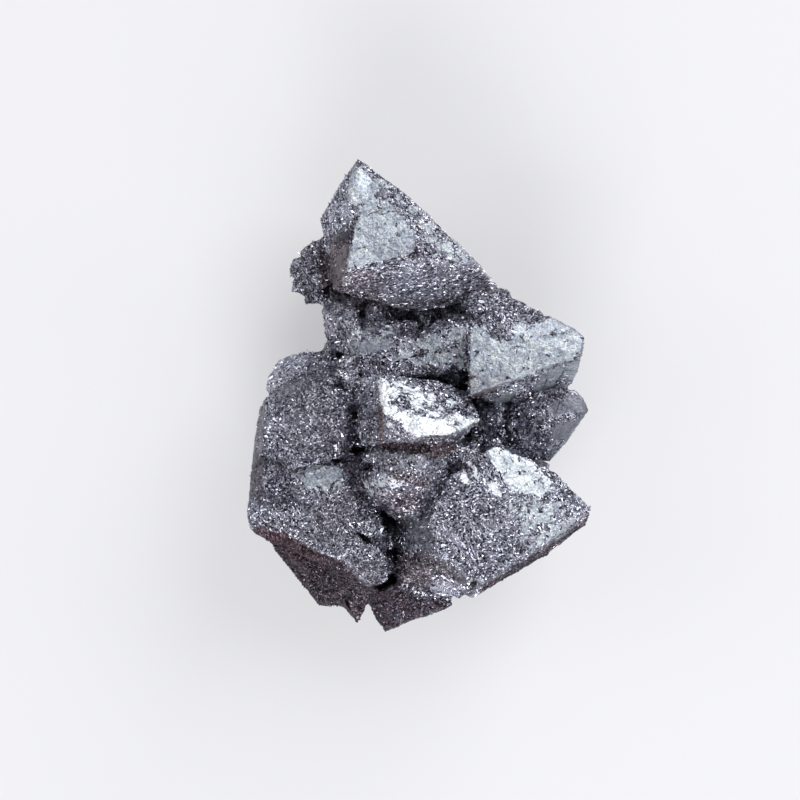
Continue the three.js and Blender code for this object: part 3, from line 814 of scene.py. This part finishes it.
def grain_corners(spots, out, here, rng):
    """The six corners of each grain."""
    count = len(spots)
    axes = grain_axes(out, here, rng)
    reach = grain_reaches(spots, out, here, rng)
    usual = np.where(here.lines > 0.5, LONG_ON_LINES, LONG)
    long = np.exp(SIZE_SPREAD * np.abs(rng.normal(size=count))) * usual
    thick = rng.uniform(*THICK, count)
    shape = np.stack([long, 0.9 / long, thick], axis=1) * reach[:, None]
    proud = rng.uniform(*PROUD, count) * np.where(here.ridge < 0.3, 0.3, 1.0)
    centre = spots + out * (proud - HEIGHT * thick * reach)[:, None]
    corners = np.einsum("nik,nkj->nij", GRAIN[None] * shape[:, None, :], axes) + centre[:, None, :]
    return np.clip(corners, [LOW[0] - PAST_BOX, LOW[1] - PAST_BOX, LEAST_HEIGHT], HIGH + PAST_BOX)


def druse_piece(name, stone, facets, rng):
    spots, out, here = strewn(stone, facets, rng, GRAINS_PER_PIECE)
    count = len(spots)
    corners = grain_corners(spots, out, here, rng).reshape(-1, 3) * MM
    faces = (GRAIN_FACES[None] + (np.arange(count) * len(GRAIN))[:, None, None]).reshape(-1, 3)
    mesh = bpy.data.meshes.new(name)
    mesh.from_pydata(corners.tolist(), [], faces.tolist())
    mesh.shade_flat()
    # Coarse druse spreads wider in tone; in the shaded recesses this is partly painted highlight, pale
    # grains where little lamp light reaches.
    spread = 0.27 + 0.3 * here.coarse - 0.17 * here.fine
    # Painted shade: grains near the creases lose tone.
    tone = GRAIN_TONE + mottled(spots, here) + spread * rng.normal(size=count) - 0.25 * here.gap
    stain = np.maximum(here.brown, 0.3 * here.gap) + 0.12 * rng.normal(size=count)
    for mark, values in (("tone", tone), ("brown", stain)):
        add_attribute(mesh, mark, np.repeat(np.clip(values, 0, 1), len(GRAIN)))
    piece = bpy.data.objects.new(name, mesh)
    bpy.context.scene.collection.objects.link(piece)
    return piece


# --- Shader nodes ---
def new_material(name):
    material = bpy.data.materials.new(name)
    material.use_nodes = True
    tree = material.node_tree
    return material, tree, tree.nodes["Principled BSDF"]


def connect(tree, value, socket):
    if isinstance(value, bpy.types.NodeSocket):
        tree.links.new(value, socket)
    elif isinstance(value, tuple):
        socket.default_value = (*value, 1)
    else:
        socket.default_value = value


def set_inputs(tree, node, values):
    for name, value in values.items():
        connect(tree, value, node.inputs[name])


def read_attribute(tree, name):
    node = tree.nodes.new("ShaderNodeAttribute")
    node.attribute_name = name
    return node.outputs["Fac"]


def object_place(tree):
    return tree.nodes.new("ShaderNodeTexCoord").outputs["Object"]


def noise_node(tree, size, detail=3.0, place=None):
    node = tree.nodes.new("ShaderNodeTexNoise")
    place = place or object_place(tree)
    set_inputs(tree, node, {"Scale": 1 / (size * MM), "Detail": detail, "Vector": place})
    return node.outputs


def mixed(tree, factor, first, second):
    node = tree.nodes.new("ShaderNodeMix")
    node.data_type = "RGBA"
    set_inputs(tree, node, {"Factor": factor, 6: first, 7: second})
    return node.outputs[2]


def mapped(tree, value, low, high, to_low=0.0, to_high=1.0):
    node = tree.nodes.new("ShaderNodeMapRange")
    ranges = {"From Min": low, "From Max": high, "To Min": to_low, "To Max": to_high}
    set_inputs(tree, node, {"Value": value, **ranges})
    return node.outputs["Result"]


def arithmetic(tree, operation, *values):
    node = tree.nodes.new("ShaderNodeMath")
    node.operation = operation
    node.use_clamp = True
    set_inputs(tree, node, dict(enumerate(values)))
    return node.outputs[0]


def vector_math(tree, operation, a, b=None):
    node = tree.nodes.new("ShaderNodeVectorMath")
    node.operation = operation
    tree.links.new(a, node.inputs[0])
    if isinstance(b, tuple):
        node.inputs[1].default_value = b
    elif b is not None:
        connect(tree, b, node.inputs["Scale" if operation == "SCALE" else 1])
    return node.outputs[0]


def stretched(tree, turn, times):
    """Places turned by so many degrees, then drawn out along x."""
    node = tree.nodes.new("ShaderNodeMapping")
    node.vector_type = "TEXTURE"
    node.inputs["Rotation"].default_value = [math.radians(angle) for angle in turn]
    node.inputs["Scale"].default_value = (times, 1, 1)
    tree.links.new(object_place(tree), node.inputs["Vector"])
    return node.outputs[0]


def drawn_out(tree, size, turn):
    """Cells about size across and twice as long, each with its own colour."""
    cell = tree.nodes.new("ShaderNodeTexVoronoi")
    set_inputs(tree, cell, {"Scale": 1 / (size * MM), "Vector": stretched(tree, turn, 2)})
    return cell.outputs["Color"]


def parted(tree, colour):
    """A colour's channels."""
    node = tree.nodes.new("ShaderNodeSeparateColor")
    tree.links.new(colour, node.inputs[0])
    return node.outputs


def minute_facets(tree, size):
    """A random colour for each minute facet, drawn out one way here and another way there."""
    where = mapped(tree, noise_node(tree, 2.5)["Fac"], 0.49, 0.51)
    return mixed(tree, where, drawn_out(tree, size, (0, 25, 25)), drawn_out(tree, size, (30, 0, 120)))


def leaning(tree, facet, amount):
    """A normal that leans its own way on each minute facet."""
    lean = vector_math(tree, "SUBTRACT", facet, (0.5, 0.5, 0.5))
    scaled = vector_math(tree, "SCALE", lean, amount)
    normal = tree.nodes.new("ShaderNodeNewGeometry").outputs["Normal"]
    return vector_math(tree, "NORMALIZE", vector_math(tree, "ADD", normal, scaled))


def hairlines(tree, size, width):
    """Thin wandering lines round cells of about size: 1 on a line, 0 away from it."""
    place = object_place(tree)
    stray = noise_node(tree, size * 0.5, place=place)["Color"]
    stray = vector_math(tree, "SUBTRACT", stray, (0.5, 0.5, 0.5))
    push = vector_math(tree, "SCALE", stray, size * MM * 1.2)
    cell = tree.nodes.new("ShaderNodeTexVoronoi")
    cell.feature = "DISTANCE_TO_EDGE"
    set_inputs(tree, cell, {"Scale": 1 / (size * MM), "Vector": vector_math(tree, "ADD", place, push)})
    line = mapped(tree, cell.outputs["Distance"], 0.0, width / size, 1.0, 0.0)
    here = mapped(tree, noise_node(tree, size * 1.3, 2.0, place)["Fac"], 0.46, 0.6)
    return arithmetic(tree, "MULTIPLY", line, here)


# --- Materials ---
GROUND_ROUGHNESS, PATCH_ROUGHNESS = 0.3, 0.46
GROUND_BUMP, PATCH_BUMP = 0.07 * MM, 0.25 * MM
GROUND_LEAN, PATCH_LEAN = 1.2, 0.25
GRAIN_ROUGHNESS = (0.4, 0.22)


def patch_colour(tree, shine, tone, mottle, speck):
    """Smooth stone: mottled and cobbled, with pits, grit and hairlines, and paler with painted highlight on
    its brighter faces.
    """
    cobble = parted(tree, drawn_out(tree, COBBLE, (20, 15, 60)))["Green"]
    mottled_part = mapped(tree, mottle, 0.35, 0.65, -0.15, 0.65)
    pale = arithmetic(tree, "ADD", mottled_part, mapped(tree, cobble, 0.0, 1.0, 0.0, 0.3))
    pale = arithmetic(tree, "ADD", pale, mapped(tree, tone, 0.1, 0.9, -0.05, 0.4))
    # Painted highlight: the brighter a patch is set, the paler its colour, and near 1 almost white.
    bright = mixed(tree, pale, *PATCH_BRIGHT)
    bright = mixed(tree, mapped(tree, shine, 0.85, 1.0, 0.0, 0.65), bright, PAINTED_HIGHLIGHT_WHITE)
    patch = mixed(tree, shine, mixed(tree, pale, *PATCH_DULL), bright)
    pitted = arithmetic(tree, "ADD", speck, mapped(tree, mottle, 0.35, 0.65, 0.0, 0.12))
    pits = mapped(tree, pitted, 0.39, 0.45, 0.65, 0.0)
    grit = mapped(tree, noise_node(tree, GRIT, 2.0)["Fac"], 0.38, 0.58, 0.5, 0.0)
    grit = arithmetic(tree, "MULTIPLY", grit, mapped(tree, shine, 0.5, 1.0, 1.0, 0.4))
    flaws = arithmetic(tree, "MAXIMUM", pits, grit)
    flaws = arithmetic(tree, "MAXIMUM", flaws, hairlines(tree, HAIRLINE, HAIRLINE_WIDTH))
    return mixed(tree, flaws, patch, FLAW_COLOUR)


def ground_colour(tree, tone, facet, lined, streak):
    """The stone between the grains: minute facets, more even in tone where the druse is fine."""
    pale = arithmetic(tree, "ADD", parted(tree, facet)["Blue"], mapped(tree, tone, 0.0, 1.0, -0.35, 0.35))
    pale = mixed(tree, lined, pale, mapped(tree, streak, 0.38, 0.58))
    pale = mapped(tree, pale, 0.4, 0.85)
    even = arithmetic(tree, "MULTIPLY", read_attribute(tree, "fine"), 0.8)
    pale = mixed(tree, even, pale, mapped(tree, pale, 0.0, 1.0, 0.2, 0.5))
    return mixed(tree, pale, *GROUND)


def stained(tree, colour, mottle, speck):
    stain = mixed(tree, mapped(tree, mottle, 0.3, 0.7), *STAIN)
    frayed = mapped(tree, speck, 0.3, 0.6, 0.55, 1.0)
    return mixed(tree, arithmetic(tree, "MULTIPLY", read_attribute(tree, "brown"), frayed), colour, stain)


def cracked(tree, colour, speck):
    off_line = arithmetic(tree, "ABSOLUTE", read_attribute(tree, "leftward"))
    line = mapped(tree, off_line, CRACK_WIDTH * 0.4, CRACK_WIDTH, 0.9, 0.0)
    line = arithmetic(tree, "MULTIPLY", line, mapped(tree, speck, 0.38, 0.55, 0.15, 1.0))
    line = arithmetic(tree, "MULTIPLY", line, read_attribute(tree, "crack"))
    return mixed(tree, line, colour, CRACK_COLOUR)


def shaded(tree, colour, smooth):
    """Painted shade: darker in the holes and along the clefts."""
    depth = mapped(tree, smooth, 0.0, 1.0, 0.95, 0.27)
    return mixed(tree, arithmetic(tree, "MULTIPLY", read_attribute(tree, "gap"), depth), colour, CREASE_SHADE_COLOUR)


def fine_relief(tree, smooth, facet, lined, streak):
    bump = tree.nodes.new("ShaderNodeBump")
    lean = mapped(tree, smooth, 0.0, 1.0, GROUND_LEAN, PATCH_LEAN)
    set_inputs(tree, bump, {
        "Strength": 0.8,
        "Distance": mapped(tree, smooth, 0.0, 1.0, GROUND_BUMP, PATCH_BUMP),
        "Height": mixed(tree, lined, noise_node(tree, 0.4, 5.0)["Fac"], streak),
        "Normal": leaning(tree, facet, lean)})
    return bump.outputs["Normal"]


def stone_material():
    material, tree, shader = new_material("hematite_stone")
    shine, tone = read_attribute(tree, "shine"), read_attribute(tree, "tone")
    mottle = noise_node(tree, MOTTLE, 5.0)["Fac"]
    speck = noise_node(tree, SPECK)["Fac"]
    frayed = mapped(tree, speck, 0.25, 0.75, -0.16, 0.16)
    smooth = mapped(tree, arithmetic(tree, "ADD", read_attribute(tree, "cover"), frayed), 0.47, 0.53)
    facet = minute_facets(tree, GLINT)
    along_lines = stretched(tree, (0, 0, GROWTH_TURN), 6)
    streak = noise_node(tree, STREAK, place=along_lines)["Fac"]
    lined = arithmetic(tree, "MULTIPLY", read_attribute(tree, "lines"), 0.65)
    ground = ground_colour(tree, tone, facet, lined, streak)
    colour = mixed(tree, smooth, ground, patch_colour(tree, shine, tone, mottle, speck))
    colour = stained(tree, colour, mottle, speck)
    colour = cracked(tree, colour, speck)
    set_inputs(tree, shader, {
        "Base Color": shaded(tree, colour, smooth),
        "Metallic": 0.9,
        "Roughness": mapped(tree, smooth, 0.0, 1.0, GROUND_ROUGHNESS, PATCH_ROUGHNESS),
        "Normal": fine_relief(tree, smooth, facet, lined, streak)})
    return material


def druse_material():
    material, tree, shader = new_material("hematite_druse")
    tone = read_attribute(tree, "tone")
    grey, mauve, rust = (mixed(tree, tone, *pair) for pair in (GRAIN_GREY, GRAIN_MAUVE, GRAIN_RUST))
    tint = mapped(tree, noise_node(tree, GRAIN_TINT, 2.0)["Fac"], 0.45, 0.7)
    set_inputs(tree, shader, {
        "Base Color": mixed(tree, read_attribute(tree, "brown"), mixed(tree, tint, grey, mauve), rust),
        "Metallic": 1.0,
        "Roughness": mapped(tree, tone, 0.0, 1.0, *GRAIN_ROUGHNESS)})
    return material


def floor_material():
    material, tree, shader = new_material("pale_floor")
    set_inputs(tree, shader, {
        "Base Color": FLOOR_COLOUR,
        "Roughness": 0.9,
        "Specular IOR Level": 0.1,
        "Emission Color": FLOOR_GLOW_COLOUR,
        "Emission Strength": FLOOR_GLOW})
    return material


# --- Stage ---
PICTURE_WIDTH = 80.0
PICTURE_CENTRE = (-1.95, -0.45)
FOCUS_HEIGHT = 16.0
CAMERA_DISTANCE = 900.0
SENSOR = 36.0
FLOOR_SIDE = 6000
FLOOR_DROP = 0.05
SKY_TOP, SKY_SIDE = 0.28, 0.68
# Each lamp: the way to it, how far off it is, its width and height, and its power in watts.
LAMPS = dict(
    key=((0.42, 0.50, 0.76), 700, (420, 420), 1.85),
    back=((0.45, 0.80, 0.36), 700, (320, 220), 1.35),
    front_low=((0.05, -0.90, 0.32), 700, (400, 240), 1.8),
    front_high=((-0.05, -0.74, 0.66), 700, (400, 260), 1.9),
    right=((0.83, 0.22, 0.48), 800, (260, 260), 0.6),
    left=((-0.75, 0.1, 0.6), 800, (400, 400), 1.0),
)


def add_camera():
    data = bpy.data.cameras.new("camera")
    data.sensor_width = SENSOR
    data.lens = SENSOR * CAMERA_DISTANCE / PICTURE_WIDTH
    data.clip_start = 0.05
    data.clip_end = 50
    camera = bpy.data.objects.new("camera", data)
    camera.location = Vector((*PICTURE_CENTRE, FOCUS_HEIGHT + CAMERA_DISTANCE)) * MM
    bpy.context.scene.collection.objects.link(camera)
    bpy.context.scene.camera = camera


def add_lamp(name, direction, distance, size, power):
    data = bpy.data.lights.new(name, "AREA")
    data.shape = "RECTANGLE"
    data.size, data.size_y = size[0] * MM, size[1] * MM
    data.energy = power
    lamp = bpy.data.objects.new(name, data)
    way = Vector(direction).normalized()
    lamp.location = way * distance * MM
    lamp.rotation_euler = way.to_track_quat("Z", "Y").to_euler()
    bpy.context.scene.collection.objects.link(lamp)


def add_sky():
    """Even light from all round, brighter near the floor than overhead."""
    world = bpy.data.worlds.new("studio")
    bpy.context.scene.world = world
    world.use_nodes = True
    tree = world.node_tree
    split = tree.nodes.new("ShaderNodeSeparateXYZ")
    tree.links.new(tree.nodes.new("ShaderNodeTexCoord").outputs["Generated"], split.inputs[0])
    shade = mapped(tree, split.outputs["Z"], 0.0, 0.75, SKY_SIDE, SKY_TOP)
    set_inputs(tree, tree.nodes["Background"], {"Strength": shade, "Color": SKY_COLOUR})


def add_floor():
    bpy.ops.mesh.primitive_plane_add(size=FLOOR_SIDE * MM, location=(0, 0, -FLOOR_DROP * MM))
    floor = bpy.context.object
    floor.name = "floor"
    floor.data.materials.append(floor_material())


def dress(piece, material):
    piece.data.materials.clear()
    piece.data.materials.append(material)
    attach(piece, "root")
    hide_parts(NODE)


facets = Facets(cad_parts[NODE])
stone = stone_piece(facets)
dress(stone, stone_material())
druse = druse_material()
for number in range(DRUSE_PIECES):
    rng = np.random.default_rng(DRUSE_SEED + number)
    dress(druse_piece(f"druse_{number + 1}", stone, facets, rng), druse)

bpy.context.scene.view_settings.view_transform = "Standard"
add_camera()
add_sky()
for name, lamp in LAMPS.items():
    add_lamp(name, *lamp)
add_floor()
